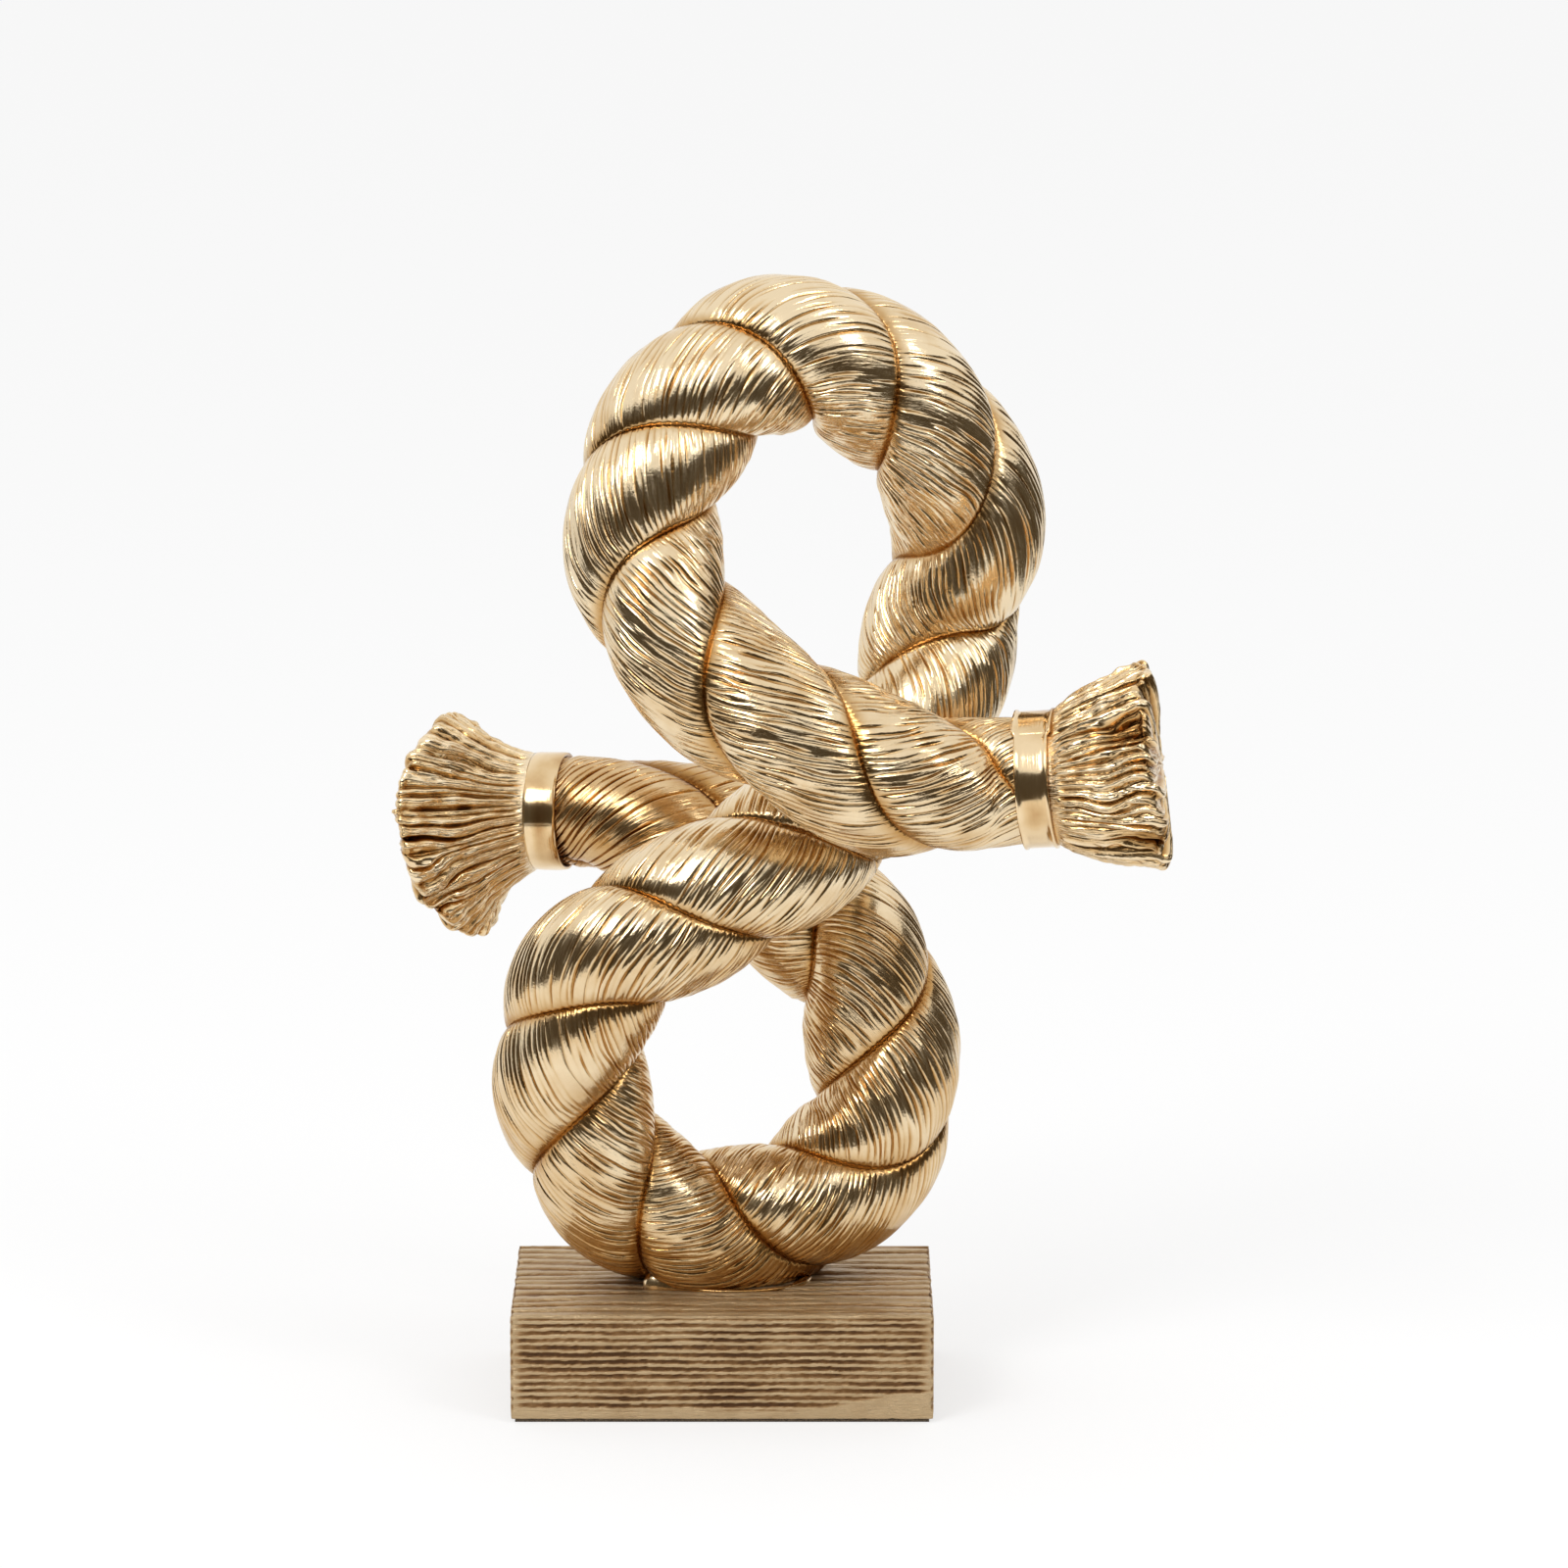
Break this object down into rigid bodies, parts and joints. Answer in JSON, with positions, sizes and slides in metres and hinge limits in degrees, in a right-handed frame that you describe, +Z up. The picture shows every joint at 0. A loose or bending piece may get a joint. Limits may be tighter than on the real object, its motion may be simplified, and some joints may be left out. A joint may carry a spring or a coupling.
{
  "type": "rope knot sculpture",
  "caption": "Gold table ornament: a thick twisted rope bent into a figure of eight with banded, frayed ends, standing on a grained rectangular plinth.",
  "frame": {"origin": "centre of the felt's underside, where the plinth stands on a table", "axes": "+Z up the sculpture, +X towards the right-hand frayed end, -Y towards the viewer"},
  "size_m": [0.263, 0.1754, 0.38],
  "materials": {
    "rope_gold": "polished antique gold over carved yarn lines, amber patina in the grooves",
    "fibre_gold": "antique gold on coarse frayed yarns",
    "band_gold": "smooth polished gold",
    "plinth_gold": "champagne gold over raised wood grain",
    "zinc_steel": "zinc plated",
    "dark_felt": "matt felt"
  },
  "bodies": {
    "root": {"strand_1": "rope_gold", "strand_2": "rope_gold", "core_rod": "zinc_steel", "band_left": "band_gold", "band_right": "band_gold", "frayed_end_left": "fibre_gold", "frayed_end_right": "fibre_gold", "plinth": "plinth_gold", "felt_base": "dark_felt", "mounting_stud": "zinc_steel", "stud_nut": "zinc_steel", "stud_washer": "zinc_steel"}
  },
  "joints": []
}
